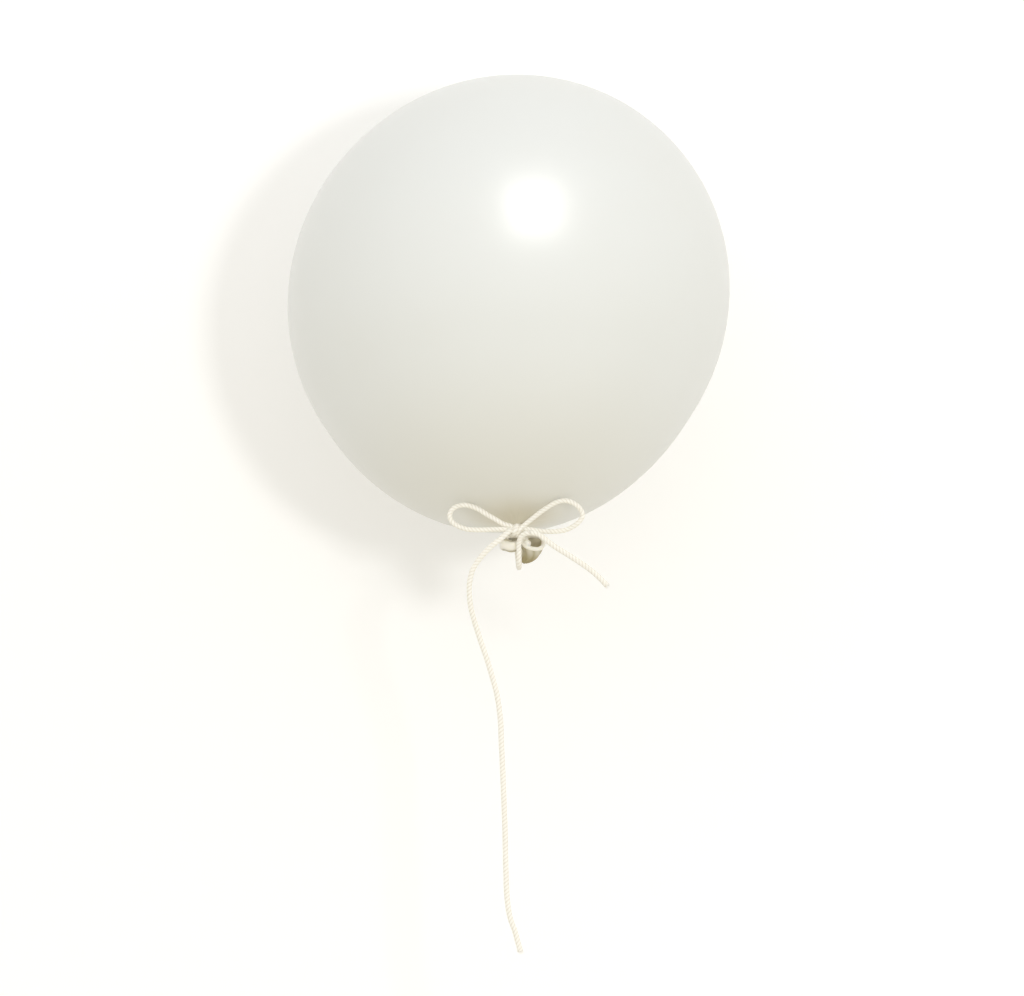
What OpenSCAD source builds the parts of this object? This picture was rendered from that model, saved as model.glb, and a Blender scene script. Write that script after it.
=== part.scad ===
// White latex balloon with its neck knotted and a length of twisted cotton cord tied round the neck in a bow.
// It rests against a wall: the origin is the rearmost point of the balloon, the wall lies at +Y and +Z is up.

/* [Balloon] */
// Diameter of the round part
balloon_d = 280; // [250:1:300]
// Thickness of the shell, drawn far thicker than stretched latex so that its two skins stay apart
wall = 0.8; // [0.6:0.1:1.5]
// How much farther the neck end reaches than a plain ball, as a share of the radius
nose = 0.105; // [0.08:0.005:0.13]
// Angle from the neck at which the ball starts to lengthen
nose_angle = 58; // [50:1:65]
// Tilt of the neck away from the wall
neck_tilt = 22; // [20:1:24]
// Lean of the neck to the right
neck_lean = 1.4; // [0:0.1:3]

/* [Neck and mouth] */
// Radius of the gathered neck under the cord
neck_r = 4.8; // [4.4:0.1:4.8]
// Length of the neck from its hinge to the knot
neck_len = 9; // [8:0.5:9]
// Radius of the turn of latex in the neck's knot
knot_turn_r = 3.4; // [3:0.1:3.6]
// Thickness radius of that turn
knot_tube_r = 2.7; // [2.2:0.1:2.8]
// Radius of the rolled lip, to the middle of the bead
lip_r = 6; // [5.5:0.1:6.3]
// Radius of the bead itself
bead_r = 1.2; // [0.9:0.1:1.4]

/* [Cord] */
// Diameter of the cotton cord
cord_d = 3.2; // [2.6:0.1:3.2]
// Turns of the cord round the neck
turns = 2; // [1:1:2]
// Length of the bow's knot
bow_len = 10.4; // [9:0.1:11]
// Radius of the bow's knot at its middle
bow_r = 4.3; // [3.8:0.1:4.5]

/* [Hidden] */

$fn = 96;
balloon_r = balloon_d / 2;
cord_r = cord_d / 2;
latex = "#eef0ea";
cream = "#e6e0cb";
cotton = "#f3ecdb";

// The ball's radius at an angle from the neck, and the point of the outline there
function ball_r(angle) = balloon_r * (1 + nose * pow(max(0, 1 - angle / nose_angle), 1.3));
function outline(angle, inset) = (ball_r(angle) - inset) * [sin(angle), -cos(angle)];
outline_step = 4;
nose_s = ball_r(0);

// The neck bends about a ball seated in the thick latex where the envelope gathers
hinge_s = nose_s + 1.5;
ball_r_neck = 4;
seat_gap = 0.4;
boss_r = 9;
boss_depth = 6;

// Places along the neck, measured from the balloon's middle
neck_end_s = hinge_s + neck_len;
turn_pitch = cord_d - 0.1;
first_turn_s = neck_end_s - 1 - cord_r - (turns - 1) * turn_pitch;
lashing_r = neck_r + 0.1 + cord_r;
knot_s = neck_end_s + 1.2 + knot_tube_r + 1.6;

// The neck's knot sits a little left of the neck
knot_offset = -3;

// Where a point drawn about the balloon's own axis, neck down, hangs
function turn_x(p, a) = [p[0], p[1] * cos(a) - p[2] * sin(a), p[1] * sin(a) + p[2] * cos(a)];
function turn_y(p, a) = [p[0] * cos(a) + p[2] * sin(a), p[1], p[2] * cos(a) - p[0] * sin(a)];
function hung_point(p, r, lean, tilt) = turn_y(turn_x(p, -tilt), -lean) - [0, r, 0];

// The cord and the mouth are placed for a 280 mm balloon and move along with its neck
neck_shift = hung_point([0, 0, -hinge_s], balloon_r, neck_lean, neck_tilt)
           - hung_point([0, 0, -156.2], 140, 1.4, 22);
function moved(route) = [for (p = route) p + neck_shift];

// The bow's knot sits on the front of the lashing
bow_at = [3, -212.5, -146] + neck_shift;

// Where the loops and the long tail leave the bow, and the radius of the bend there
root_gap = 0.35;
root_sides = 12;
loop_root_r = 2.3;
left_root = [-2.6, -213.5, -145.4] + neck_shift;
right_root = [8.6, -213.5, -145.2] + neck_shift;
long_root = [-0.6, -216.5, -149] + neck_shift;

// The middle and the facing of the mouth's rolled lip, which opens up and forward
lip_at = [15.4, -205, -157.5] + neck_shift;
lip_turn = [35, 0, 6];

// Routes of the cord's middle line
left_route = [
    [-4.3, -213.5, -143.7], [-9, -214.5, -141], [-15, -215, -137.5], [-21, -215, -134], [-28, -215, -132],
    [-34.5, -214.5, -133.5], [-37.5, -214, -137.5], [-36.5, -214, -142], [-32, -214, -145.3],
    [-26, -214, -147.2], [-19, -214, -147.5], [-11, -213.5, -147.2], [-4.5, -213.5, -147.1]];
right_route = [
    [10.2, -213.5, -143.4], [14.2, -214.5, -140.2], [21, -215, -135], [27.5, -215.5, -131], [33.5, -215.5, -129.3],
    [39.5, -215, -130.7], [44, -214.5, -134.7], [45.3, -214, -138.7], [43.3, -214, -142.3],
    [39.3, -214, -145.5], [34, -214, -147.7], [27, -214, -148.5], [19, -213.5, -148.2],
    [10.5, -213.5, -147.1]];
wrap_route = [
    [4, -196.3, -156], [4.6, -196, -161.5], [5.2, -197.5, -167], [5.5, -201.5, -170.3], [5.7, -206.5, -171],
    [5.8, -210.8, -169], [5.7, -213.2, -164.5], [5.6, -213.9, -159.5], [5.7, -215, -155.5],
    [7, -216.6, -151.9], [9.4, -218.4, -149.9], [12.7, -219.5, -149.2]];
short_route = [
    [14.4, -219.5, -149.2], [16.4, -219.5, -149.6], [18.9, -219.5, -150.9], [22.7, -219.5, -153.9], [28.5, -219.5, -158.2],
    [35.5, -219, -162.5], [42.5, -219, -167], [49, -218.5, -171.5], [55, -218, -176.5], [60.5, -217.5, -182]];
upper_route = [
    [-0.6, -216.5, -149], [-5.5, -219, -152.8], [-12, -220, -158], [-18.5, -220, -165], [-23, -219.7, -172],
    [-25, -219.3, -179.5], [-25.3, -218.8, -187], [-24.3, -218, -196], [-22, -217.3, -205]];
lower_route = [
    [-21.6, -217.2, -206.6], [-18.5, -216.7, -216], [-14.5, -216.3, -227.6], [-11, -216, -239.2], [-8, -216, -250.8],
    [-6, -216, -264.4], [-5.3, -216, -279.9], [-4.5, -216, -297.3], [-3.7, -216, -317], [-3, -216, -336.6],
    [-2.6, -216, -356.3], [-1.8, -216, -375.9], [0, -216, -388.7], [3, -216, -397.5], [6.5, -216, -410.3]];

// A smooth line through the points of a route, with a ring at each point and some between
function clamp_at(route, i) = route[min(max(i, 0), len(route) - 1)];
function smooth_point(a, b, c, d, t) =
    b + 0.5 * t * (c - a + t * (2 * a - 5 * b + 4 * c - d + t * (3 * (b - c) + d - a)));
function smooth_route(route, per_step) = [
    for (i = [0:len(route) - 2], k = [0:per_step - 1])
        smooth_point(clamp_at(route, i - 1), route[i], route[i + 1], clamp_at(route, i + 2), k / per_step),
    route[len(route) - 1]];
function unit(v) = v / norm(v);
function heading(line, i) = unit(clamp_at(line, i + 1) - clamp_at(line, i - 1));
function ring(centre, direction, up, radius, sides) =
    let (side = unit(cross(up, direction)), other = cross(direction, side))
    [for (k = [0:sides - 1])
        centre + radius * (cos(360 * k / sides) * side + sin(360 * k / sides) * other)];

// Cord swept along a route; up is a direction that the route never takes
module swept_cord(route, per_step = 1, sides = 8, up = [0, 1, 0]) {
    line = smooth_route(moved(route), per_step);
    last = len(line) - 1;
    rings = [for (i = [0:last]) each ring(line[i], heading(line, i), up, cord_r, sides)];
    skin = [
        for (i = [0:last - 1], k = [0:sides - 1])
            let (a = i * sides + k, b = i * sides + (k + 1) % sides) [a, a + sides, b + sides, b]];
    caps = [[for (k = [0:sides - 1]) k], [for (k = [sides - 1:-1:0]) last * sides + k]];
    polyhedron(points = rings, faces = concat(skin, caps), convexity = 6);
}

// Moves things drawn about the balloon's own axis, neck down, to where the balloon hangs
module hung() {
    translate([0, -balloon_r, 0]) rotate([0, -neck_lean, 0]) rotate([-neck_tilt, 0, 0]) children();
}

// Round latex wall, thick only where it gathers at the neck
module envelope() {
    outer = [for (a = [0:outline_step:180]) outline(a, 0)];
    inner = [for (a = [0:outline_step:180]) outline(a, wall)];
    color(latex) hung() difference() {
        union() {
            difference() {
                rotate_extrude() polygon(outer);
                rotate_extrude() polygon(inner);
            }
            intersection() {
                rotate_extrude() polygon(outer);
                translate([0, 0, -nose_s]) cylinder(r = boss_r, h = boss_depth);
            }
        }
        translate([0, 0, -hinge_s]) sphere(r = ball_r_neck + seat_gap);
    }
}

// Gathered neck: a ball in the envelope's seat and a stem that the cord grips
module neck() {
    color(latex) hung() {
        translate([0, 0, -hinge_s]) sphere(r = ball_r_neck);
        translate([0, 0, -hinge_s - 2.6]) cylinder(r1 = neck_r, r2 = 2.8, h = 1.6);
        translate([0, 0, -neck_end_s]) cylinder(r = neck_r, h = neck_len - 2.6);
    }
}

// Overhand knot in the latex below the cord
module neck_knot() {
    color(cream) hung() translate([knot_offset, 0, -knot_s]) rotate([24, 14, 0]) {
        rotate_extrude() translate([knot_turn_r, 0]) circle(r = knot_tube_r, $fn = 48);
        sphere(r = knot_turn_r);
    }
}

// Soft tail of latex: a cup that opens out of the knot to the mouth
module mouth_tail() {
    color(cream) hull() {
        translate(lip_at) rotate(lip_turn) cylinder(r = lip_r, h = 1, center = true, $fn = 32);
        translate([12.6, -204, -163] + neck_shift) sphere(r = 3.6, $fn = 32);
        translate([11, -204.3, -161] + neck_shift) sphere(r = 2, $fn = 24);
    }
}

// Rolled bead round the mouth
module rolled_lip() {
    color(cream) translate(lip_at) rotate(lip_turn)
        rotate_extrude() translate([lip_r, 0]) circle(r = bead_r, $fn = 32);
}

// Turns of cord pulled tight round the neck
module neck_lashing() {
    color(cotton) hung() for (i = [0:turns - 1])
        translate([0, 0, -first_turn_s - i * turn_pitch])
            rotate_extrude() translate([lashing_r, 0]) circle(r = cord_r, $fn = 32);
}

// Bow's knot, hollowed where the loops and the long tail bend out of it
module bow_knot() {
    half = bow_len / 2;
    side = [for (a = [0:7.5:180]) [bow_r * sin(a), half * cos(a)]];
    color(cotton) difference() {
        translate(bow_at) rotate([0, 90, 0]) rotate_extrude() polygon(side);
        translate(left_root) sphere(r = loop_root_r + root_gap);
        translate(right_root) sphere(r = loop_root_r + root_gap);
        translate(long_root) sphere(r = cord_r + root_gap);
    }
}

// Cord that passes under the neck's knot, up its front and over to the right
module knot_wrap() {
    color(cotton) swept_cord(wrap_route, up = [1, 0, -1]);
}

module left_loop() {
    color(cotton) {
        swept_cord(left_route);
        translate(left_root) sphere(r = loop_root_r, $fn = root_sides);
    }
}

module right_loop() {
    color(cotton) {
        swept_cord(right_route);
        translate(right_root) sphere(r = loop_root_r, $fn = root_sides);
    }
}

module short_tail() {
    color(cotton) swept_cord(short_route);
}

module long_tail_upper() {
    color(cotton) {
        swept_cord(upper_route);
        translate(long_root) sphere(r = cord_r, $fn = root_sides);
    }
}

module long_tail_lower() {
    color(cotton) swept_cord(lower_route, 2);
}

envelope();
neck();
neck_knot();
mouth_tail();
rolled_lip();
neck_lashing();
bow_knot();
knot_wrap();
left_loop();
right_loop();
short_tail();
long_tail_upper();
long_tail_lower();
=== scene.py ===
# White latex balloon held against a wall, its knotted neck tied with a bow of twisted cotton cord.
# Metres, +Z up, the wall is the plane y = 0 behind the balloon.
import bpy
import bmesh
import math
import random
from mathutils import Matrix, Vector, noise


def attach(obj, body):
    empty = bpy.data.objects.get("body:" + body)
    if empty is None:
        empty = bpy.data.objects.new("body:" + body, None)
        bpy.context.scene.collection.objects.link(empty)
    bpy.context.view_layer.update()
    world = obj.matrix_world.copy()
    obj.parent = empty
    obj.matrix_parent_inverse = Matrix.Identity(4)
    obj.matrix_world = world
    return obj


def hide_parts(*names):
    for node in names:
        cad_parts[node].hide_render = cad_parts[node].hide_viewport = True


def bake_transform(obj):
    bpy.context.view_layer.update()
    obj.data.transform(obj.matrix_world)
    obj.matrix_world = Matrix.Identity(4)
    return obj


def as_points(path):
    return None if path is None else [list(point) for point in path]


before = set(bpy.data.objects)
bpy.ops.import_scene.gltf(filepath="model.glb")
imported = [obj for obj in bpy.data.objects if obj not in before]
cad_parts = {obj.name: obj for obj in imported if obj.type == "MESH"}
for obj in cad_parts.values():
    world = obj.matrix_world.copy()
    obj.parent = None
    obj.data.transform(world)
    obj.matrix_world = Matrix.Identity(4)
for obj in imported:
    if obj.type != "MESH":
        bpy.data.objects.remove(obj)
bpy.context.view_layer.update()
mm = 0.001


camera = {
    "lens": 250, "sensor": 36,    # mm
    "distance": 4.512,            # from the middle of the balloon
    "aim": (1.3, -140, -127.6),   # mm, the middle of the view
    "nearest": 0.1, "farthest": 60,
}


def makeCamera(cfg):
    data = bpy.data.cameras.new("camera")
    data.lens = cfg["lens"]
    data.sensor_width = cfg["sensor"]
    data.clip_start = cfg["nearest"]
    data.clip_end = cfg["farthest"]
    eye = bpy.data.objects.new("camera", data)
    bpy.context.scene.collection.objects.link(eye)
    aim = Vector(cfg["aim"]) * mm
    eye.location = aim - Vector((0, cfg["distance"], 0))
    eye.rotation_euler = (math.radians(90), 0, 0)
    bpy.context.scene.camera = eye


makeCamera(camera)
print("camera placed")


curveSteps = 24     # between two points of a route
sheetWeld = 1e-7    # points of a sheet that fall together
seamWeld = 1e-6     # the seam of a closed ring


def smoothLine(points, spacing):
    # Catmull-Rom through the points, then even steps along it
    pts = [Vector(p) * mm for p in points]
    ends = [pts[0] * 2 - pts[1]] + pts + [pts[-1] * 2 - pts[-2]]
    dense = []
    for a, b, c, d in zip(ends, ends[1:], ends[2:], ends[3:]):
        for k in range(curveSteps):
            t = k / curveSteps
            curved = (2 * a - 5 * b + 4 * c - d) + t * (3 * (b - c) + d - a)
            dense.append(b + 0.5 * t * ((c - a) + t * curved))
    dense.append(pts[-1])
    return evenSteps(dense, spacing)


def evenSteps(dense, spacing):
    lengths = [0.0]
    for a, b in zip(dense, dense[1:]):
        lengths.append(lengths[-1] + (b - a).length)
    count = max(4, round(lengths[-1] / spacing))
    line, seg = [], 0
    for k in range(count + 1):
        want = lengths[-1] * k / count
        while seg < len(dense) - 2 and lengths[seg + 1] < want:
            seg += 1
        span = lengths[seg + 1] - lengths[seg]
        share = (want - lengths[seg]) / span if span > 0 else 0
        line.append(dense[seg].lerp(dense[seg + 1], share))
    return line


def lineLength(line):
    return sum((b - a).length for a, b in zip(line, line[1:]))


def carriedFrames(line, side):
    # a side vector carried along the line without twisting
    frames = []
    last = len(line) - 1
    normal = Vector(side)
    for i, here in enumerate(line):
        ahead = (line[min(i + 1, last)] - line[max(i - 1, 0)]).normalized()
        normal = (normal - ahead * normal.dot(ahead)).normalized()
        frames.append((here, ahead, normal, ahead.cross(normal)))
    return frames


def rolledSheet(rows, around, place, capStart=True, capEnd=True, tone=None):
    # a grid rolled into a tube: place(i, j) gives the point of row i at j steps round
    bm = bmesh.new()
    bm.loops.layers.uv.new("UVMap")
    # tone(i, j) gives the stretch value, which also carries painted shade
    stretchAndShade = bm.verts.layers.float.new("stretchAndShade") if tone else None
    bmesh.ops.create_grid(bm, x_segments=rows, y_segments=around, size=0.5, calc_uvs=True)
    for v in bm.verts:
        i = round((v.co.x + 0.5) * rows)
        j = round((v.co.y + 0.5) * around)
        v.co = place(i, j % around)
        if tone:
            v[stretchAndShade] = tone(i, j % around)
    bmesh.ops.remove_doubles(bm, verts=bm.verts, dist=sheetWeld)
    rims = [e for e in bm.edges if e.is_boundary]
    if rims and (capStart or capEnd):
        startSpot = place(0, 0)
        endSpot = place(rows, 0)
        wanted = []
        for e in rims:
            nearStart = (e.verts[0].co - startSpot).length < (e.verts[0].co - endSpot).length
            if (nearStart and capStart) or (not nearStart and capEnd):
                wanted.append(e)
        bmesh.ops.holes_fill(bm, edges=wanted, sides=0)
    bmesh.ops.recalc_face_normals(bm, faces=bm.faces)
    return bm


def finishMesh(name, bm, material, smooth=True):
    mesh = bpy.data.meshes.new(name)
    bm.to_mesh(mesh)
    bm.free()
    for face in mesh.polygons:
        face.use_smooth = smooth
    piece = bpy.data.objects.new(name, mesh)
    bpy.context.scene.collection.objects.link(piece)
    mesh.materials.append(material)
    return piece


def stretchUv(bm, length, start):
    # the map's U runs along the cord in metres, V once round it
    uv = bm.loops.layers.uv.active
    for face in bm.faces:
        for loop in face.loops:
            loop[uv].uv.x = start + loop[uv].uv.x * length


def lumps(angle, along, roundness):
    # uneven all the way round, from -1 to 1
    return noise.noise(Vector((along, math.cos(angle) * roundness, math.sin(angle) * roundness)))


def step01(low, high, value):
    t = max(0.0, min(1.0, (value - low) / (high - low)))
    return t * t * (3 - 2 * t)


def newGroup(name, inputs, outputs):
    group = bpy.data.node_groups.new(name, "ShaderNodeTree")
    for label, kind, value in inputs:
        socket = group.interface.new_socket(label, in_out="INPUT", socket_type=kind)
        if value is not None:
            socket.default_value = value
    for label, kind in outputs:
        group.interface.new_socket(label, in_out="OUTPUT", socket_type=kind)
    return group, group.nodes.new("NodeGroupInput"), group.nodes.new("NodeGroupOutput")


def mathNode(tree, operation, first, second=None):
    node = tree.nodes.new("ShaderNodeMath")
    node.operation = operation
    for k, value in enumerate((first, second)):
        if value is None:
            continue
        if isinstance(value, (int, float)):
            node.inputs[k].default_value = value
        else:
            tree.links.new(value, node.inputs[k])
    return node.outputs[0]


def noiseNode(tree, vector, scale, detail=3.0, roughness=0.5):
    node = tree.nodes.new("ShaderNodeTexNoise")
    node.inputs["Scale"].default_value = scale
    node.inputs["Detail"].default_value = detail
    node.inputs["Roughness"].default_value = roughness
    tree.links.new(vector, node.inputs["Vector"])
    return node.outputs["Fac"]


def rangeNode(tree, value, fromLow, fromHigh, toLow, toHigh):
    node = tree.nodes.new("ShaderNodeMapRange")
    tree.links.new(value, node.inputs["Value"])
    labels = ("From Min", "From Max", "To Min", "To Max")
    for label, number in zip(labels, (fromLow, fromHigh, toLow, toHigh)):
        node.inputs[label].default_value = number
    return node.outputs["Result"]


def mixColour(tree, factor, first, second, blend="MIX"):
    node = tree.nodes.new("ShaderNodeMix")
    node.data_type = "RGBA"
    node.blend_type = blend
    sockets = (node.inputs[0], node.inputs[6], node.inputs[7])
    for socket, value in zip(sockets, (factor, first, second)):
        if isinstance(value, tuple):
            socket.default_value = value
        else:
            tree.links.new(value, socket)
    return node.outputs[2]


def flatPoint(tree, x, y):
    node = tree.nodes.new("ShaderNodeCombineXYZ")
    tree.links.new(x, node.inputs["X"])
    tree.links.new(y, node.inputs["Y"])
    return node.outputs["Vector"]


groupResults = [("Color", "NodeSocketColor"), ("Roughness", "NodeSocketFloat"),
                ("Height", "NodeSocketFloat")]

latexSkin = {
    "cloud": (9.0, 4.0, 0.55),      # scale, detail and roughness of the patches of tint
    "smear": (30.0, 2.0, 0.5),      # and of the smears in the gloss
    "fineDetail": 2.0,
    "stray": (0.3, 0.7, -0.05, 0.05),   # how far the tint strays from the stretch
    "veil": (0.97, 0.955, 0.93, 1), "veilShare": (0.35, 0.7, 0.0, 0.35),
    "smearGloss": (0.3, 0.7, -0.015, 0.03),
    "slackRough": 0.16,             # added where the latex isn't stretched
    "fineHeight": 0.5, "smearHeight": 0.5,
}


def stretchedLatexGroup(cfg):
    # tint, roughness and a fine skin for latex, by how far it has stretched; the same value also
    # carries painted shade, low where shade is painted in creases and hollows
    group, inside, out = newGroup(
        "stretchedLatex",
        [("Vector", "NodeSocketVector", None), ("Stretch And Shade", "NodeSocketFloat", 1.0),
         ("Thin", "NodeSocketColor", (0.85, 0.86, 0.82, 1)),
         ("Thick And Shaded", "NodeSocketColor", (0.80, 0.75, 0.60, 1)),
         ("Gloss", "NodeSocketFloat", 0.25), ("Skin Size", "NodeSocketFloat", 900.0)],
        groupResults)
    cloud = noiseNode(group, inside.outputs["Vector"], *cfg["cloud"])
    fine = group.nodes.new("ShaderNodeTexNoise")
    fine.inputs["Detail"].default_value = cfg["fineDetail"]
    group.links.new(inside.outputs["Vector"], fine.inputs["Vector"])
    group.links.new(inside.outputs["Skin Size"], fine.inputs["Scale"])
    smear = noiseNode(group, inside.outputs["Vector"], *cfg["smear"])
    stray = rangeNode(group, cloud, *cfg["stray"])
    ragged = mathNode(group, "ADD", inside.outputs["Stretch And Shade"], stray)
    stretchAndShade = mathNode(group, "MINIMUM", mathNode(group, "MAXIMUM", ragged, 0.0), 1.0)
    base = mixColour(group, stretchAndShade, inside.outputs["Thick And Shaded"], inside.outputs["Thin"])
    veilShare = rangeNode(group, cloud, *cfg["veilShare"])
    veiled = mixColour(group, veilShare, base, cfg["veil"], "MULTIPLY")
    group.links.new(veiled, out.inputs["Color"])
    smeared = rangeNode(group, smear, *cfg["smearGloss"])
    rough = mathNode(group, "ADD", inside.outputs["Gloss"], smeared)
    slack = mathNode(group, "SUBTRACT", 1.0, stretchAndShade)
    slackRough = mathNode(group, "MULTIPLY", slack, cfg["slackRough"])
    group.links.new(mathNode(group, "ADD", rough, slackRough), out.inputs["Roughness"])
    height = mathNode(group, "ADD",
                      mathNode(group, "MULTIPLY", fine.outputs["Fac"], cfg["fineHeight"]),
                      mathNode(group, "MULTIPLY", smear, cfg["smearHeight"]))
    group.links.new(height, out.inputs["Height"])
    return group


cottonYarn = {
    "plies": 3, "lay": 7.2 * mm,    # one full turn of the plies
    "groove": 0.6,                  # below 1, the valley between two plies is narrow
    "yarnsRound": 26.0, "yarnsAlong": 900.0,
    "fibresRound": 46.0, "fibresAlong": 500.0, "fibreNoise": (1.0, 6.0, 0.65),
    "slubsRound": 3.0, "slubsAlong": 70.0, "slubNoise": (1.0, 3.0, 0.5),
    "fibreShade": (0.2, 0.75, 0.72, 1.0), "fibreRough": (0.2, 0.8, 0.78, 0.95),
    "slubTint": (0.95, 0.91, 0.82, 1), "slubShare": (0.35, 0.75, 0.0, 0.3),
    "yarnHeight": 0.35, "fibreHeight": 0.9, "grooveHeight": 0.5,
}


def pliedCottonGroup(cfg):
    # plies wound round each other; the map's U runs along the cord in metres, V once round it
    group, inside, out = newGroup(
        "pliedCotton",
        [("Along", "NodeSocketFloat", 0.0), ("Round", "NodeSocketFloat", 0.0),
         ("Lay", "NodeSocketFloat", cfg["lay"]),
         ("Light", "NodeSocketColor", (0.985, 0.97, 0.91, 1)),
         ("Dark", "NodeSocketColor", (0.79, 0.745, 0.65, 1))],
        groupResults)

    def times(value, factor):
        return mathNode(group, "MULTIPLY", value, factor)

    along, around = inside.outputs["Along"], inside.outputs["Round"]
    layTurns = mathNode(group, "DIVIDE", along, inside.outputs["Lay"])
    turns = mathNode(group, "SUBTRACT", around, layTurns)
    crest = mathNode(group, "COSINE", times(turns, cfg["plies"] * math.pi))
    groove = mathNode(group, "POWER", mathNode(group, "ABSOLUTE", crest), cfg["groove"])
    # yarns lie across each ply, so they run nearly along the cord
    yarnTurns = mathNode(group, "ADD", times(around, cfg["yarnsRound"]),
                         times(along, cfg["yarnsAlong"]))
    yarn = mathNode(group, "ABSOLUTE", mathNode(group, "SINE", times(yarnTurns, math.pi)))
    fibrePoint = flatPoint(group, times(along, cfg["fibresAlong"]),
                           times(turns, cfg["fibresRound"]))
    fibre = noiseNode(group, fibrePoint, *cfg["fibreNoise"])
    slubPoint = flatPoint(group, times(along, cfg["slubsAlong"]), times(turns, cfg["slubsRound"]))
    slub = noiseNode(group, slubPoint, *cfg["slubNoise"])
    # painted shade: the cord darker in the valleys between the plies, mixed with the fibres' own
    # uneven tone
    depth = mathNode(group, "MULTIPLY", groove, rangeNode(group, fibre, *cfg["fibreShade"]))
    cloth = mixColour(group, depth, inside.outputs["Dark"], inside.outputs["Light"])
    slubShare = rangeNode(group, slub, *cfg["slubShare"])
    cloth = mixColour(group, slubShare, cloth, cfg["slubTint"], "MULTIPLY")
    group.links.new(cloth, out.inputs["Color"])
    group.links.new(rangeNode(group, fibre, *cfg["fibreRough"]), out.inputs["Roughness"])
    height = mathNode(group, "ADD", times(yarn, cfg["yarnHeight"]),
                      times(fibre, cfg["fibreHeight"]))
    height = mathNode(group, "ADD", height, times(groove, cfg["grooveHeight"]))
    group.links.new(height, out.inputs["Height"])
    return group


latexGroup = stretchedLatexGroup(latexSkin)
cottonGroup = pliedCottonGroup(cottonYarn)


def newMaterial(name):
    material = bpy.data.materials.new(name)
    material.use_nodes = True
    tree = material.node_tree
    return material, tree, tree.nodes["Principled BSDF"]


def groupNode(tree, group):
    node = tree.nodes.new("ShaderNodeGroup")
    node.node_tree = group
    return node


def wear(tree, shader, skin, relief, depth):
    # the group's colour, roughness and relief go to the shader
    bump = tree.nodes.new("ShaderNodeBump")
    bump.inputs["Strength"].default_value = relief
    bump.inputs["Distance"].default_value = depth
    tree.links.new(skin.outputs["Height"], bump.inputs["Height"])
    tree.links.new(skin.outputs["Color"], shader.inputs["Base Color"])
    tree.links.new(skin.outputs["Roughness"], shader.inputs["Roughness"])
    tree.links.new(bump.outputs["Normal"], shader.inputs["Normal"])


latexOptics = {"ior": 1.5, "glowColour": (1.0, 0.85, 0.6), "reliefDepth": 0.2 * mm}


def latexMaterial(name, cfg):
    material, tree, shader = newMaterial(name)
    where = tree.nodes.new("ShaderNodeTexCoord")
    stretchAndShade = tree.nodes.new("ShaderNodeAttribute")
    stretchAndShade.attribute_name = "stretchAndShade"
    skin = groupNode(tree, latexGroup)
    tree.links.new(where.outputs["Object"], skin.inputs["Vector"])
    tree.links.new(stretchAndShade.outputs["Fac"], skin.inputs["Stretch And Shade"])
    skin.inputs["Thin"].default_value = (*cfg["thin"], 1)
    skin.inputs["Thick And Shaded"].default_value = (*cfg["thick"], 1)
    skin.inputs["Gloss"].default_value = cfg["gloss"]
    skin.inputs["Skin Size"].default_value = cfg["skinSize"]
    wear(tree, shader, skin, cfg["relief"], latexOptics["reliefDepth"])
    shader.inputs["IOR"].default_value = latexOptics["ior"]
    shader.inputs["Subsurface Weight"].default_value = cfg["glow"]
    shader.inputs["Subsurface Radius"].default_value = latexOptics["glowColour"]
    shader.inputs["Subsurface Scale"].default_value = cfg["glowDepth"]
    return material


def cottonMaterial(name, cfg):
    material, tree, shader = newMaterial(name)
    where = tree.nodes.new("ShaderNodeTexCoord")
    split = tree.nodes.new("ShaderNodeSeparateXYZ")
    tree.links.new(where.outputs["UV"], split.inputs["Vector"])
    cloth = groupNode(tree, cottonGroup)
    tree.links.new(split.outputs["X"], cloth.inputs["Along"])
    tree.links.new(split.outputs["Y"], cloth.inputs["Round"])
    wear(tree, shader, cloth, cfg["relief"], cfg["reliefDepth"])
    shader.inputs["Sheen Weight"].default_value = cfg["sheen"]
    shader.inputs["Sheen Roughness"].default_value = cfg["sheenRough"]
    shader.inputs["Specular IOR Level"].default_value = cfg["specular"]
    return material


# the thick colour here is thicker latex at the crown and neck, and painted shade over the
# underside
balloonLatex = latexMaterial("balloonLatex", {
    "thin": (0.775, 0.79, 0.772), "thick": (0.68, 0.64, 0.52), "gloss": 0.315,
    "skinSize": 110.0, "relief": 0.015, "glow": 0.0, "glowDepth": 12 * mm})
# the thick colour here is painted shade, for the creases and hollows of the knot and mouth
neckLatex = latexMaterial("neckLatex", {
    "thin": (0.92, 0.895, 0.81), "thick": (0.33, 0.28, 0.14), "gloss": 0.34,
    "skinSize": 1600.0, "relief": 0.25, "glow": 0.15, "glowDepth": 1.5 * mm})
twistedCotton = cottonMaterial("twistedCotton", {
    "relief": 0.7, "reliefDepth": 0.12 * mm, "sheen": 0.25, "sheenRough": 0.5, "specular": 0.2})
print("materials made")


cord = {
    "diameter": 3.2 * mm, "sides": 30, "step": 0.55 * mm,
    "crest": 1.03, "crease": 0.10,    # top of a ply, and depth of the valleys, in radii
    "roundness": 0.75,                # of each ply
    "uneven": 0.035, "unevenAlong": 260, "unevenRound": 1.3,
    "flare": 0.10, "flareReach": 2.5 * mm,    # plies open a little at a cut end
    "loopFull": 0.95, "tailFull": 1.05,       # pulled tight in the loops, loose in the tails
}

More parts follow.
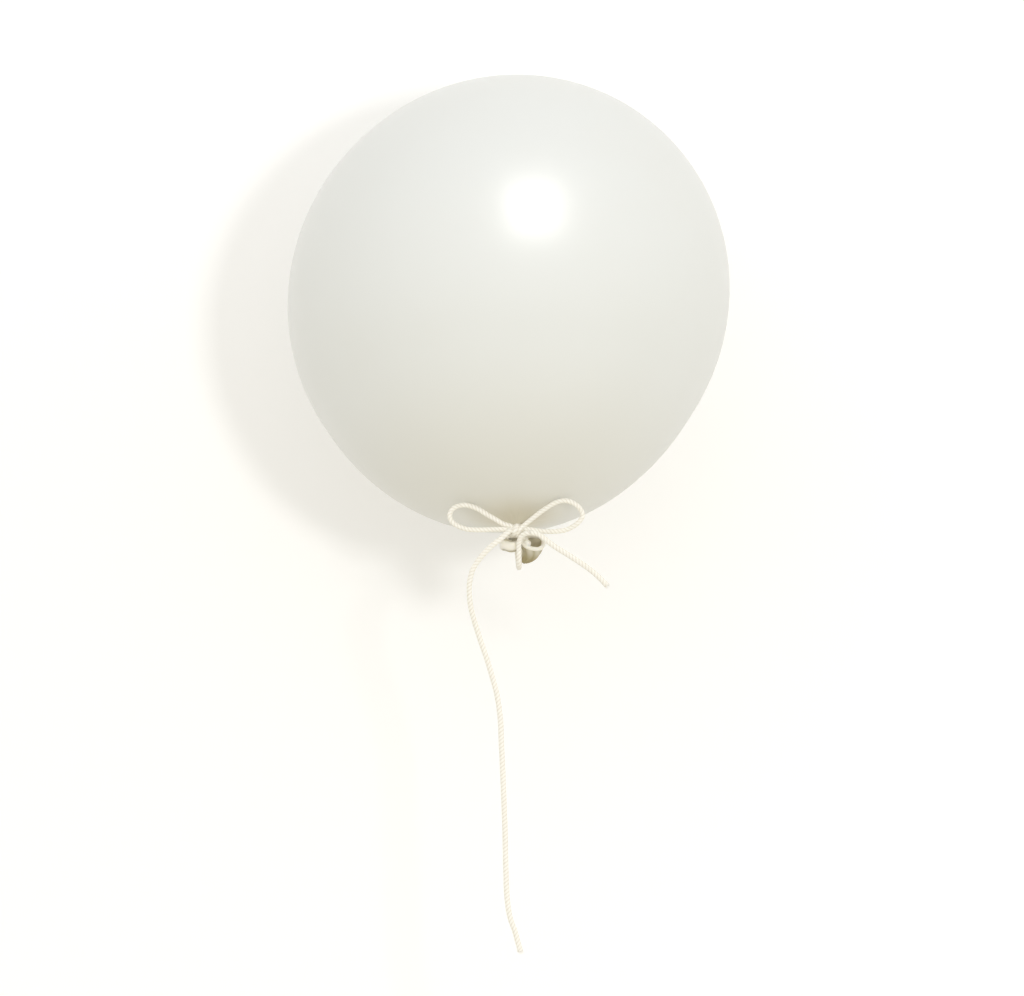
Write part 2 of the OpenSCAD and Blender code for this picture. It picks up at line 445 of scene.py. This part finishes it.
routes = {   # mm, as the cord lies
    "left": [
        (3, -212.5, -146.4), (-0.5, -213.3, -144.9), (-4.3, -213.5, -143.7), (-9, -214.5, -141),
        (-15, -215, -137.5), (-21, -215, -134), (-28, -215, -132), (-34.5, -214.5, -133.5),
        (-37.5, -214, -137.5), (-36.5, -214, -142), (-32, -214, -145.3), (-26, -214, -147.2),
        (-19, -214, -147.5), (-11, -213.5, -147.2), (-4.5, -213.5, -147.1), (-0.5, -212.8, -147),
        (3, -211.5, -147)],
    "right": [
        (4.4, -213.2, -151), (5.6, -214.6, -148.2), (8.7, -214.4, -144.8), (14.2, -214.5, -140.2),
        (21, -215, -135), (27.5, -215.5, -131), (33.5, -215.5, -129.3), (39.5, -215, -130.7),
        (44, -214.5, -134.7), (45.3, -214, -138.7), (43.3, -214, -142.3), (39.3, -214, -145.5),
        (34, -214, -147.7), (27, -214, -148.5), (19, -213.5, -148.2), (10.5, -213.5, -147.1),
        (6.5, -212.5, -146.8), (3, -211.5, -146.6)],
    "wrap": [
        (3.2, -199, -153), (4, -196.3, -156), (4.6, -196, -161.5), (5.2, -197.5, -167),
        (5.5, -201.5, -170.3), (5.7, -206.5, -171), (5.8, -210.8, -169), (5.7, -213.2, -164.5),
        (5.6, -213.9, -159.5), (5.7, -215, -155.5), (7, -216.6, -151.9), (9.4, -218.4, -149.9),
        (12.7, -219.5, -149.2)],
    "short": [
        (12.7, -219.5, -149.2), (14.4, -219.5, -149.2), (16.4, -219.5, -149.6),
        (18.9, -219.5, -150.9), (22.7, -219.5, -153.9), (28.5, -219.5, -158.2),
        (35.5, -219, -162.5), (42.5, -219, -167), (49, -218.5, -171.5), (55, -218, -176.5),
        (60.5, -217.5, -182)],
    "upper": [
        (3, -213.5, -146.6), (-0.6, -216.5, -148.4), (-5.5, -219, -152.8), (-12, -220, -158),
        (-18.5, -220, -165), (-23, -219.7, -172), (-25, -219.3, -179.5), (-25.3, -218.8, -187),
        (-24.3, -218, -196), (-22, -217.3, -205)],
    "lower": [
        (-22, -217.3, -205), (-18.5, -216.7, -216), (-14.5, -216.3, -227.6), (-11, -216, -239.2),
        (-8, -216, -250.8), (-6, -216, -264.4), (-5.3, -216, -279.9), (-4.5, -216, -297.3),
        (-3.7, -216, -317), (-3, -216, -336.6), (-2.6, -216, -356.3), (-1.8, -216, -375.9),
        (0, -216, -388.7), (3, -216, -397.5), (6.5, -216, -410.3)],
}

bends = {   # mm, where each cord starts to bend and where it ends
    "loopMiddle": (3, -212.5, -146.2), "loopReach": (2, 10),
    "short": ((12.7, -219.5, -149.2), (20, -219.5, -153)),
    "upper": ((2, -216, -148), (-10, -219, -157)),
    "lower": ((-22, -217.3, -205), (-20.2, -217, -211)),
}


def plyRadius(angle, along):
    turn = angle - 2 * math.pi * along / cottonYarn["lay"]
    ridge = abs(math.cos(cottonYarn["plies"] / 2 * turn)) ** cord["roundness"]
    return cord["diameter"] / 2 * (cord["crest"] - cord["crease"] * (1 - ridge))


def makeCord(name, line, side, startAlong=0.0, cutEnd=False, full=1.0):
    frames = carriedFrames(line, side)
    rows, around = len(line) - 1, cord["sides"]
    total = lineLength(line)

    def place(i, j):
        here, ahead, normal, across = frames[i]
        angle = 2 * math.pi * j / around
        along = startAlong + total * i / rows
        radius = plyRadius(angle, along) * full
        # cotton is never quite even
        uneven = lumps(angle, along * cord["unevenAlong"], cord["unevenRound"])
        radius *= 1 + cord["uneven"] * uneven
        if cutEnd:
            left = total - total * i / rows
            radius *= 1 + cord["flare"] * max(0.0, 1 - left / cord["flareReach"])
        return here + (normal * math.cos(angle) + across * math.sin(angle)) * radius

    bm = rolledSheet(rows, around, place)
    stretchUv(bm, total, startAlong)
    return finishMesh(name, bm, twistedCotton), total


def cordPath(line, every=6):
    path = line[::every]
    if path[-1] is not line[-1]:
        path = path + [line[-1]]
    return [list(p) for p in path]


fray = {
    "fibres": 22, "sides": 5, "reach": 2.6 * mm, "shortest": 0.45,
    "thick": 0.16 * mm, "tipShare": 0.4,
    "ring": cord["diameter"] * 0.42,    # the fibres stand within this radius
    "root": 0.6 * mm,                   # and start this deep in the cord
    "spread": 0.55, "spreadFrom": 0.3, "spreadTo": 1.2, "curl": 0.15, "curls": 5,
    "shortSeed": 5, "longSeed": 9,
}


def makeFray(name, line, cfg, seed):
    # loose fibres standing out of a cut end
    rng = random.Random(seed)
    tip, before = line[-1], line[-4]
    ahead = (tip - before).normalized()
    side = ahead.orthogonal().normalized()
    across = ahead.cross(side)
    bm = bmesh.new()
    bm.loops.layers.uv.new("UVMap")
    for k in range(cfg["fibres"]):
        angle = rng.uniform(0, 2 * math.pi)
        away = math.sqrt(rng.random())
        out = side * math.cos(angle) + across * math.sin(angle)
        start = tip + out * away * cfg["ring"] - ahead * cfg["root"]
        lean = cfg["spread"] * away * rng.uniform(cfg["spreadFrom"], cfg["spreadTo"])
        reach = cfg["reach"] * rng.uniform(cfg["shortest"], 1.0)
        root = cfg["thick"] / 2
        hair = bmesh.ops.create_cone(bm, cap_ends=True, segments=cfg["sides"], radius1=root,
                                     radius2=root * cfg["tipShare"], depth=1.0, calc_uvs=True)
        for v in hair["verts"]:
            t = v.co.z + 0.5
            curl = cfg["curl"] * lean * math.sin(cfg["curls"] * t + k)
            bend = out * (lean * t * t + curl) * reach
            v.co = start + ahead * (t * reach) + side * v.co.x + across * v.co.y + bend
    bmesh.ops.recalc_face_normals(bm, faces=bm.faces)
    piece = finishMesh(name, bm, twistedCotton)
    return piece


def makeCords():
    loose = cord["tailFull"]
    lines = {key: smoothLine(points, cord["step"]) for key, points in routes.items()}
    made = {}
    for key, name in (("left", "leftLoop"), ("right", "rightLoop")):
        piece, total = makeCord(name, lines[key], (0, -1, 0), full=cord["loopFull"])
        made[name] = piece
        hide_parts(key + "_loop")
        list(lines[key][0])
        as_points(cordPath(lines[key]))
    wrap, wrapLength = makeCord("knotWrap", lines["wrap"], (1, 0, 0))
    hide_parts("knot_wrap")
    short, shortLength = makeCord("shortTail", lines["short"], (0, -1, 0), wrapLength,
                                  cutEnd=True, full=loose)
    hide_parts("short_tail")
    upper, upperLength = makeCord("longTailTop", lines["upper"], (0, -1, 0), full=loose)
    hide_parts("long_tail_upper")
    lower, lowerLength = makeCord("longTail", lines["lower"], (0, -1, 0), upperLength,
                                  cutEnd=True, full=loose)
    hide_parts("long_tail_lower")
    list(lines["wrap"][0])
    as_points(cordPath(lines["wrap"]))
    shortFray = makeFray("shortTailFibres", lines["short"], fray, fray["shortSeed"])
    longFray = makeFray("longTailFibres", lines["lower"], fray, fray["longSeed"])
    list(lines["short"][0])
    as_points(cordPath(lines["short"]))
    list(lines["upper"][0])
    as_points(cordPath(lines["upper"]))
    list(lines["lower"][0])
    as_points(cordPath(lines["lower"]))
    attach(shortFray, "short_tail")
    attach(longFray, "long_tail_lower")
    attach(wrap, "bow")
    middle = Vector(bends["loopMiddle"]) * mm
    near, far = [Vector((reach, 0, 0)) * mm for reach in bends["loopReach"]]
    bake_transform(made["leftLoop"])
    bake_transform(made["rightLoop"])
    for piece, still, moving, key in ((short, "bow", "short_tail", "short"),
                                      (upper, "bow", "long_tail_upper", "upper"),
                                      (lower, "long_tail_upper", "long_tail_lower", "lower")):
        start, end = [Vector(point) * mm for point in bends[key]]
        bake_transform(piece)
        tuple(start)
        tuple(end)
    print("cord lengths, mm:", {k: round(lineLength(v) / mm, 1) for k, v in lines.items()})


makeCords()


balloon = {
    "radius": 140 * mm,
    "nose": 0.105, "noseAngle": 58, "noseShape": 1.3,    # how the ball lengthens towards the neck
    "tilt": 22, "lean": 1.4,             # degrees, the neck comes forward and to the right
    "steps": 256, "rowAngle": 2,         # degrees between rows, from the crown
    "lastRow": 8, "shoulderStart": 7,    # degrees from the neck
    "shoulderSteps": 22, "shoulderPull": (5.6, -154.6), "shoulderEnd": (4.7, -159.2),   # mm
    "stem": [(4.6, -161), (4.5, -163), (4.5, -165), (4.4, -166.5), (3.9, -168), (2.5, -169)],
    "stemTip": -169.4,
    "pleats": 17, "pleatDepth": 0.55 * mm, "pleatReach": 26 * mm,
    "pleatFade": 2.6, "pleatAngle": 30, "pleatRing": 5 * mm,
    "pleatEnd": (168.5 * mm, 165 * mm),  # below the middle, the pleats die out in the neck
    "pleatTurn": (156 * mm, 152 * mm),   # and push upwards instead of inwards above it
    "swell": 0.004, "fuller": (0.006, 200), "longer": (0.02, 50),    # shares, and at what angle
    "roundBy": (5, 22),                  # degrees from the neck, where that sets in
    # the shoulder tint is partly thicker latex, partly painted shade on the underside
    "crownSpot": (1, 17), "crownTone": 0.5,    # degrees from the crown, where it is creamier
    "neckTint": (1.5, 15), "shoulderTint": (10, 62), "shoulderTone": 0.73,    # and from the neck
    "neckBend": (151 * mm, 160 * mm),
}


def hungMatrix(cfg):
    return (Matrix.Translation((0, -cfg["radius"], 0))
            @ Matrix.Rotation(math.radians(-cfg["lean"]), 4, "Y")
            @ Matrix.Rotation(math.radians(-cfg["tilt"]), 4, "X"))


hung = hungMatrix(balloon)


def ballPoint(angle, cfg):
    # on the half outline, by the angle in degrees from the neck
    nose = cfg["nose"] * max(0.0, 1 - angle / cfg["noseAngle"]) ** cfg["noseShape"]
    r = cfg["radius"] * (1 + nose)
    return r * math.sin(math.radians(angle)), -r * math.cos(math.radians(angle))


def outline(cfg):
    # half outline in x and z from the crown down to the end of the neck
    points = [ballPoint(angle, cfg) for angle in range(180, cfg["lastRow"] - 1, -cfg["rowAngle"])]
    points[0] = (0.0, cfg["radius"])
    wide = ballPoint(cfg["shoulderStart"], cfg)
    pull, stem = [(x * mm, z * mm) for x, z in (cfg["shoulderPull"], cfg["shoulderEnd"])]
    for k in range(cfg["shoulderSteps"] + 1):      # the shoulder curves into the neck
        t = k / cfg["shoulderSteps"]
        a, b, c = (1 - t) ** 2, 2 * t * (1 - t), t * t
        points.append(tuple(a * w + b * p + c * s for w, p, s in zip(wide, pull, stem)))
    points += [(x * mm, z * mm) for x, z in cfg["stem"]]
    return points + [(0.0, cfg["stemTip"] * mm)]


def pleatWave(turn, cfg):
    # uneven folds: a sharp valley, a round crest
    drift = 0.35 * math.sin(turn * 2 + 0.7) + 0.22 * math.sin(turn * 5 + 2.1)
    wave = abs(math.sin(0.5 * cfg["pleats"] * (turn + drift * 0.35)))
    deep = 0.7 + 0.3 * math.sin(turn * 3 + 1.0)
    return (1 - wave) ** 2 * deep


def lopsided(angle, cfg):
    # a real balloon is never quite round: fuller to the lower left and the upper right
    (once, leftwards), (twice, upwards) = cfg["fuller"], cfg["longer"]
    return (cfg["swell"] + once * math.cos(angle - math.radians(leftwards))
            + twice * math.cos(2 * (angle - math.radians(upwards))))


def pleatPush(local, across, cfg):
    # folds that gather into the neck and fade out over the shoulder
    below = -local.z
    fade = math.exp(-max(0.0, across - cfg["pleatRing"]) / cfg["pleatReach"] * cfg["pleatFade"])
    fade *= step01(*cfg["pleatEnd"], below)
    depth = cfg["pleatDepth"] * pleatWave(math.atan2(local.y, local.x), cfg) * fade
    inward = Vector((-local.x, -local.y, 0)).normalized()
    slope = step01(*cfg["pleatTurn"], below)
    return (inward * (1 - slope) + Vector((0, 0, 1)) * slope) * depth


def stretchAndShadeTone(fromNeck, cfg):
    # thicker and creamier in a spot at the crown, and more and more towards the neck where the
    # latex is thicker; the shoulder tint also makes the underside creamier and darker as painted
    # shade
    crown = step01(*cfg["crownSpot"], 180 - fromNeck) * (1 - cfg["crownTone"]) + cfg["crownTone"]
    spread = step01(*cfg["shoulderTint"], fromNeck)
    shoulder = cfg["shoulderTone"] + (1 - cfg["shoulderTone"]) * spread
    return crown * step01(*cfg["neckTint"], fromNeck) * shoulder


def ringOrder(point):
    # ring by ring upwards, and round each ring; a micrometre of height outweighs a radian
    return point.z / (0.001 * mm) + math.atan2(point.y, point.x)


def makeEnvelope(cfg):
    bm = bmesh.new()
    row = [bm.verts.new((x, 0, z)) for x, z in outline(cfg)]
    edges = [bm.edges.new(pair) for pair in zip(row, row[1:])]
    bmesh.ops.spin(bm, geom=row + edges, cent=(0, 0, 0), axis=(0, 0, 1), dvec=(0, 0, 0),
                   angle=2 * math.pi, steps=cfg["steps"], use_merge=True, use_duplicate=False)
    bmesh.ops.remove_doubles(bm, verts=bm.verts, dist=seamWeld)
    # the spin leaves them in no fixed order
    bm.verts.sort(key=lambda v: ringOrder(v.co))
    bm.faces.sort(key=lambda f: ringOrder(f.calc_center_median()))
    stretchAndShade = bm.verts.layers.float.new("stretchAndShade")
    middle = Vector((0, -cfg["radius"], 0))
    for v in bm.verts:
        local = v.co.copy()
        across = math.hypot(local.x, local.y)
        fromNeck = math.degrees(math.atan2(across, -local.z))
        if fromNeck < cfg["pleatAngle"] and across > seamWeld:
            local += pleatPush(local, across, cfg)
        offset = hung @ local - middle
        flat = math.hypot(offset.x, offset.z)
        share = (flat / offset.length) ** 2 * step01(*cfg["roundBy"], fromNeck)
        v.co = middle + offset * (1 + lopsided(math.atan2(offset.z, offset.x), cfg) * share)
        v[stretchAndShade] = stretchAndShadeTone(fromNeck, cfg)
    bmesh.ops.recalc_face_normals(bm, faces=bm.faces)
    piece = finishMesh("balloonSkin", bm, balloonLatex)
    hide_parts("envelope", "neck")
    start, end = [hung @ Vector((0, 0, -below)) for below in cfg["neckBend"]]
    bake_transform(piece)
    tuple(start)
    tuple(end)


makeEnvelope(balloon)
print("balloon skin made")


neckKnot = {
    "sides": 48,
    "step": 0.4 * mm,
    # mm across, forward and down from the end of the neck, in the balloon's own axes
    "route": [
        (0, 0, 163.5), (0.3, 0.4, 166.3), (0.6, -1.2, 169), (-0.4, -4.0, 171.4),
        (-3.2, -4.9, 172.2), (-6.2, -3.4, 170.4), (-6.9, 0.8, 169.4), (-4.4, 3.8, 168.8),
        (-0.8, 4.0, 169), (2.0, 1.8, 170.8), (3.2, -0.2, 173), (4.4, 0.6, 175.4),
        (5.2, 1.2, 177.4)],
    "radius": [4.0, 3.8, 3.5, 3.7, 3.9, 4.0, 3.8, 3.4, 3.2, 3.0, 2.7, 2.5, 2.4],
    "flat": 0.92, "endShare": 0.75,
    "fold": 0.26, "lumps": 0.07, "lumpsAlong": 0.05, "lumpsRound": 1.5,
    # painted shade: the knot darker in its fold valleys and over its end
    "foldShade": 1.6, "shadedEnd": (0.8, 0.95), "endShadeShare": 0.8,
}


def between(values, share):
    # the value at a share of the way along a list
    at = share * (len(values) - 1)
    k = min(int(at), len(values) - 2)
    return values[k] * (1 - at + k) + values[k + 1] * (at - k)


def strainFold(angle, i):
    # strained folds run along the twisted neck, some deeper than others
    wave = abs(math.sin(2 * angle + i * 0.03 + 0.9 * math.sin(angle + 1)))
    deep = 0.6 + 0.4 * math.sin(angle * 2 + i * 0.02)
    return 1 - deep * (1 - wave ** 0.55)


def makeNeckKnot(cfg):
    line = [hung @ Vector((p.x, p.y, -p.z)) for p in smoothLine(cfg["route"], cfg["step"])]
    frames = carriedFrames(line, (0, 1, 0))
    rows, around = len(line) - 1, cfg["sides"]

    def place(i, j):
        here, ahead, normal, across = frames[i]
        angle = 2 * math.pi * j / around
        radius = between(cfg["radius"], i / rows) * mm
        radius *= 1 - cfg["fold"] * (1 - strainFold(angle, i))
        radius *= 1 + cfg["lumps"] * lumps(angle, i * cfg["lumpsAlong"], cfg["lumpsRound"])
        if i == 0 or i == rows:
            radius *= cfg["endShare"]
        return here + (normal * math.cos(angle) + across * math.sin(angle) * cfg["flat"]) * radius

    def tone(i, j):
        # painted shade in the fold valleys and over the knot's end
        endShade = cfg["endShadeShare"] * step01(*cfg["shadedEnd"], i / rows)
        return strainFold(2 * math.pi * j / around, i) ** cfg["foldShade"] * (1 - endShade)

    bm = rolledSheet(rows, around, place, tone=tone)
    piece = finishMesh("neckKnot", bm, neckLatex)
    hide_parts("neck_knot")
    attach(piece, "bow")


makeNeckKnot(neckKnot)
print("neck's knot made")


mouth = {   # mm and degrees
    "lipAt": (14.3, -205.5, -155.1), "lipTurn": (46, 0, 6),
    "lipRadius": 6.15, "outOfRound": (0.07, 0.04), "outOfFlat": (0.9, 0.35),
    "bead": 1.35, "lipRows": 120, "lipSides": 18,
    "beadUneven": 0.07, "beadUnevenAlong": 0.11, "ridge": 0.06, "ridgeTwist": 0.05,
    "throat": (8.8, -206, -167.2), "belly": (14.4, -205, -163.2), "cupRows": 40, "cupSides": 96,
    "throatShare": 0.32, "bellyShare": 0.9,    # of the lip's width
    "crease": 0.9, "creaseShape": 0.7, "creaseFade": 0.85, "wall": 0.35,
    # painted shade: the cup darker than the lip, deepest inside and in its creases, lighter again
    # towards the rim
    "hollowShade": (0.1, 0.95), "deepestShade": 0.12, "creaseShade": 0.38,
    "rimTone": 0.45, "rimFrom": (0.9, 1.0),
    "fold": [(10.4, -203.6, -159.8), (10.2, -205.4, -157.9), (10.6, -207.6, -156.0),
             (11.4, -209.4, -154.7)],
    "foldStep": 0.25, "foldSides": 36, "foldRadius": (2.4, 2.9, 3.0, 2.3),
    "foldRounds": 0.7, "foldEnd": 0.305,       # shares of its length
    "foldCrease": 0.16, "foldCreaseShape": 0.6, "foldUneven": 0.08, "foldUnevenRound": 1.4,
    # painted shade: the fold darker where it goes down into the cup
    "foldShade": 0.55,
}


def lipFrame(cfg):
    turn = [math.radians(a) for a in cfg["lipTurn"]]
    return (Matrix.Translation(Vector(cfg["lipAt"]) * mm) @ Matrix.Rotation(turn[2], 4, "Z")
            @ Matrix.Rotation(turn[1], 4, "Y") @ Matrix.Rotation(turn[0], 4, "X"))


def rimPoint(cfg, angle):
    # the lip's middle line: a ring that has sprung a little out of round and out of flat
    oval, corners = cfg["outOfRound"]
    saddle, ripple = cfg["outOfFlat"]
    uneven = oval * math.cos(2 * angle + 0.6) + corners * math.cos(3 * angle + 1.0)
    r = cfg["lipRadius"] * (1 + uneven)
    lift = saddle * math.cos(2 * angle - 0.8) + ripple * math.sin(3 * angle)
    return lipFrame(cfg) @ (Vector((r * math.cos(angle), r * math.sin(angle), lift)) * mm)


def makeLip(cfg):
    rows, around = cfg["lipRows"], cfg["lipSides"]
    ringLine = [rimPoint(cfg, 2 * math.pi * k / rows) for k in range(rows)]
    up = lipFrame(cfg).to_3x3() @ Vector((0, 0, 1))

    def place(i, j):
        here = ringLine[i % rows]
        ahead = (ringLine[(i + 1) % rows] - ringLine[(i - 1) % rows]).normalized()
        out = ahead.cross(up).normalized()
        above = out.cross(ahead)
        angle = 2 * math.pi * j / around
        uneven = noise.noise(Vector((i * cfg["beadUnevenAlong"], 0.3, 2.0)))
        radius = cfg["bead"] * mm * (1 + cfg["beadUneven"] * uneven)
        # the roll's edge shows as a faint ridge
        radius *= 1 - cfg["ridge"] * abs(math.sin(angle * 2 + i * cfg["ridgeTwist"]))
        return here + (out * math.cos(angle) + above * math.sin(angle)) * radius

    bm = rolledSheet(rows, around, place, capStart=False, capEnd=False, tone=lambda i, j: 1.0)
    bmesh.ops.remove_doubles(bm, verts=bm.verts, dist=seamWeld)
    bmesh.ops.recalc_face_normals(bm, faces=bm.faces)
    piece = finishMesh("rolledLip", bm, neckLatex)
    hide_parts("rolled_lip")
    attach(piece, "mouth")


def makeCup(cfg):
    rows, around = cfg["cupRows"], cfg["cupSides"]
    throat, middle, belly = [Vector(cfg[key]) * mm for key in ("throat", "lipAt", "belly")]

    def crease(t, angle):
        folded = math.sin(2.5 * angle + 1.1 * math.sin(angle + 1) + 1.3 * t)
        return abs(folded) ** cfg["creaseShape"]

    def place(i, j):
        t = i / rows
        angle = 2 * math.pi * j / around
        rim = rimPoint(cfg, angle)
        small = throat + (rim - middle) * cfg["throatShare"]
        bulge = belly + (rim - middle) * cfg["bellyShare"]
        point = small * (1 - t) ** 2 + bulge * 2 * t * (1 - t) + rim * t * t
        inward = (middle - rim).normalized()
        deep = cfg["crease"] * mm * (1 - crease(t, angle)) * (1 - t * cfg["creaseFade"])
        return point + inward * deep

    def tone(i, j):
        # painted shade: deepest inside the cup and in its creases, lifting towards the rim
        t = i / rows
        shadeLevel = cfg["deepestShade"] + cfg["creaseShade"] * crease(t, 2 * math.pi * j / around)
        rim = cfg["rimTone"] * step01(*cfg["rimFrom"], t)
        return step01(*cfg["hollowShade"], t) ** 2 * shadeLevel + rim

    bm = rolledSheet(rows, around, place, capStart=True, capEnd=False, tone=tone)
    piece = finishMesh("mouthCup", bm, neckLatex)
    wall = piece.modifiers.new("wall", "SOLIDIFY")
    wall.thickness = cfg["wall"] * mm
    wall.offset = 0
    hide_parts("mouth_tail")
    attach(piece, "mouth")


def makeMouthFold(cfg):
    # latex bunched inside the mouth
    line = smoothLine(cfg["fold"], cfg["foldStep"] * mm)
    frames = carriedFrames(line, (1, 0, 0))
    rows, around = len(line) - 1, cfg["foldSides"]

    def place(i, j):
        here, ahead, normal, across = frames[i]
        t = i / rows
        angle = 2 * math.pi * j / around
        radius = between(cfg["foldRadius"], t) * mm
        if t > cfg["foldRounds"]:
            radius *= math.sqrt(max(0.01, 1 - ((t - cfg["foldRounds"]) / cfg["foldEnd"]) ** 2))
        crest = abs(math.sin(1.5 * angle + 0.5)) ** cfg["foldCreaseShape"]
        radius *= 1 - cfg["foldCrease"] * (1 - crest)
        radius *= 1 + cfg["foldUneven"] * lumps(angle, t * 3, cfg["foldUnevenRound"])
        return here + (normal * math.cos(angle) + across * math.sin(angle)) * radius

    def tone(i, j):
        # painted shade: darker where the fold goes down into the cup
        return cfg["foldShade"] + (1 - cfg["foldShade"]) * i / rows

    piece = finishMesh("mouthFold", rolledSheet(rows, around, place, tone=tone), neckLatex)
    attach(piece, "mouth")


makeMouthFold(mouth)
makeLip(mouth)
makeCup(mouth)
print("mouth made")


lashing = {"firstTurn": 159.6, "pitch": 3.15, "turns": 2.3, "radius": 6.35, "begin": 0.15}   # mm
bowKnot = {
    "middle": (3.4, -212.9, -147.5), "deep": 3.4, "tall": 2.3, "tilt": 0.9, "drift": 0.9,   # mm
    "rows": 48, "turns": 1.12, "begin": 0.45, "startAlong": 3 * mm,
}


def makeLashing(cfg):
    rows = int(2 * math.pi * cfg["radius"] * cfg["turns"] * mm / cord["step"])
    line = []
    for k in range(rows + 1):
        t = k / rows * cfg["turns"]
        turn = 2 * math.pi * t - math.pi / 2
        drop = cfg["firstTurn"] + cfg["pitch"] * (t - cfg["begin"])
        x, y = cfg["radius"] * math.cos(turn), cfg["radius"] * math.sin(turn)
        line.append(hung @ (Vector((x, y, -drop)) * mm))
    piece, total = makeCord("neckLashing", line, (0, 0, 1))
    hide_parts("neck_lashing")
    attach(piece, "bow")
    print("round the neck, mm:", round(total / mm, 1))


def makeBowKnot(cfg):
    x, y, z = cfg["middle"]
    line = []
    for k in range(cfg["rows"] + 1):
        t = k / cfg["rows"]
        turn = 2 * math.pi * cfg["turns"] * t + math.pi * cfg["begin"]
        line.append(Vector((x + cfg["tilt"] * math.sin(turn) + cfg["drift"] * (t - 0.5),
                            y + cfg["deep"] * math.cos(turn),
                            z + cfg["tall"] * math.sin(turn))) * mm)
    piece, total = makeCord("bowKnot", line, (1, 0, 0), cfg["startAlong"])
    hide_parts("bow_knot")
    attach(piece, "bow")
    print("bow knot, mm:", round(total / mm, 1))


makeLashing(lashing)
makeBowKnot(bowKnot)


studio = {
    "wallWidth": 30.0, "wallHeight": 8.0, "wallGap": 1.5 * mm,
    "floorDepth": 30.0, "floorDrop": 1.1,
    "skyColour": (1.0, 0.998, 0.99, 1),
    "skyFrom": -0.1, "skyTo": 0.7, "ground": 0.93, "sky": 1.085,    # brighter overhead than level
    "softbox": {"size": (0.72, 0.82), "far": 1.7, "watts": 17.6, "toward": (0.172, -0.70, 0.67)},
    "side": {"size": (0.26, 0.26), "far": 2.6, "watts": 14, "toward": (0.30, -1.0, 0.06)},
    # as seen, lit from behind, and as returned to the object
    "wall": {"colour": (0.95, 0.945, 0.935), "lift": 0.10, "returned": (0.92, 0.90, 0.85)},
    "floor": {"colour": (0.76, 0.725, 0.64), "lift": 0.0, "returned": (0.81, 0.77, 0.665)},
    "paint": {"grain": 60.0, "grainShare": (0.3, 0.7, 0.0, 0.3), "shade": 0.99, "roughness": 0.9},
}


def stagePlane(name, corners, look, paint):
    bm = bmesh.new()
    bm.faces.new([bm.verts.new(c) for c in corners])
    material, tree, shader = newMaterial(name)
    where = tree.nodes.new("ShaderNodeTexCoord")
    grain = noiseNode(tree, where.outputs["Object"], paint["grain"])
    colour = look["colour"]
    grainShare = rangeNode(tree, grain, *paint["grainShare"])
    shaded = tuple(c * paint["shade"] for c in colour)
    tint = mixColour(tree, grainShare, (*colour, 1), (*shaded, 1))
    tree.links.new(tint, shader.inputs["Base Color"])
    shader.inputs["Roughness"].default_value = paint["roughness"]
    shader.inputs["Emission Color"].default_value = (1, 1, 1, 1)
    shader.inputs["Emission Strength"].default_value = look["lift"]
    # the light that it returns is even, as from a wide white sweep
    glow = tree.nodes.new("ShaderNodeEmission")
    glow.inputs["Color"].default_value = (*look["returned"], 1)
    even = tree.nodes.new("ShaderNodeMixShader")
    path = tree.nodes.new("ShaderNodeLightPath")
    tree.links.new(path.outputs["Is Diffuse Ray"], even.inputs["Fac"])
    tree.links.new(shader.outputs["BSDF"], even.inputs[1])
    tree.links.new(glow.outputs["Emission"], even.inputs[2])
    # seen from behind, the plane isn't there
    clear = tree.nodes.new("ShaderNodeBsdfTransparent")
    choose = tree.nodes.new("ShaderNodeMixShader")
    sides = tree.nodes.new("ShaderNodeNewGeometry")
    tree.links.new(sides.outputs["Backfacing"], choose.inputs["Fac"])
    tree.links.new(even.outputs["Shader"], choose.inputs[1])
    tree.links.new(clear.outputs["BSDF"], choose.inputs[2])
    tree.links.new(choose.outputs["Shader"], tree.nodes["Material Output"].inputs["Surface"])
    finishMesh(name, bm, material, smooth=False)


def areaLamp(name, cfg, seenInGloss, seenInDiffuse):
    data = bpy.data.lights.new(name, "AREA")
    data.shape = "RECTANGLE"
    data.size, data.size_y = cfg["size"]
    data.energy = cfg["watts"]
    lamp = bpy.data.objects.new(name, data)
    bpy.context.scene.collection.objects.link(lamp)
    toward = Vector(cfg["toward"]).normalized()
    lamp.location = Vector((0, -balloon["radius"], 0)) + toward * cfg["far"]
    lamp.rotation_mode = "QUATERNION"
    lamp.rotation_quaternion = toward.to_track_quat("Z", "Y")
    lamp.visible_glossy = seenInGloss
    lamp.visible_diffuse = seenInDiffuse


def makeStudio(cfg):
    w, high, low = cfg["wallWidth"] / 2, cfg["wallHeight"], -cfg["floorDrop"]
    back, front = cfg["wallGap"], -cfg["floorDepth"]
    wall = [(-w, back, low), (w, back, low), (w, back, high), (-w, back, high)]
    floor = [(-w, front, low), (w, front, low), (w, back, low), (-w, back, low)]
    stagePlane("paleWall", wall, cfg["wall"], cfg["paint"])
    stagePlane("paleFloor", floor, cfg["floor"], cfg["paint"])
    world = bpy.data.worlds.new("studioLight")
    world.use_nodes = True
    tree = world.node_tree
    where = tree.nodes.new("ShaderNodeTexCoord")
    heights = tree.nodes.new("ShaderNodeSeparateXYZ")
    tree.links.new(where.outputs["Generated"], heights.inputs["Vector"])
    sky = tree.nodes["Background"]
    sky.inputs["Color"].default_value = cfg["skyColour"]
    strength = rangeNode(tree, heights.outputs["Z"],
                         cfg["skyFrom"], cfg["skyTo"], cfg["ground"], cfg["sky"])
    tree.links.new(strength, sky.inputs["Strength"])
    bpy.context.scene.world = world
    areaLamp("softbox", cfg["softbox"], True, False)
    areaLamp("sideLight", cfg["side"], False, True)
    bpy.context.scene.view_settings.view_transform = "Standard"


makeStudio(studio)
print("studio made")
